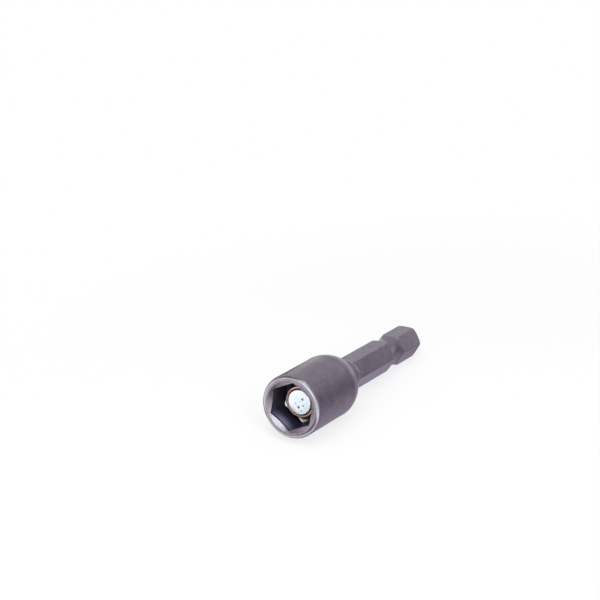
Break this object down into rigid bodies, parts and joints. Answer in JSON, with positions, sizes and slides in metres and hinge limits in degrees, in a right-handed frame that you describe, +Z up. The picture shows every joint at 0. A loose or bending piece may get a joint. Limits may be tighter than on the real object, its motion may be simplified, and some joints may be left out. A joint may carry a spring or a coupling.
{
  "type": "magnetic nut setter",
  "caption": "Power-driver bit with a hexagonal quick-change shank, a domed round socket and a recessed magnet that holds a hexagonal nut or screw head while it is driven.",
  "frame": {"origin": "centre of the shank's end face, on the tool's axis", "axes": "+Y along the tool's axis, out of the shank's end face, so the mouth faces -Y; +Z up, square to two of the shank's flats; +X to the right seen from the mouth"},
  "size_m": [0.0134, 0.05, 0.0134],
  "materials": {
    "satin_steel": "satin, fine blasted grain",
    "copper_sleeve": "satin",
    "plated_magnet": "bright nickel plating with small pits"
  },
  "bodies": {
    "root": {"body": "satin_steel", "magnet_sleeve": "copper_sleeve", "magnet": "plated_magnet"}
  },
  "joints": []
}
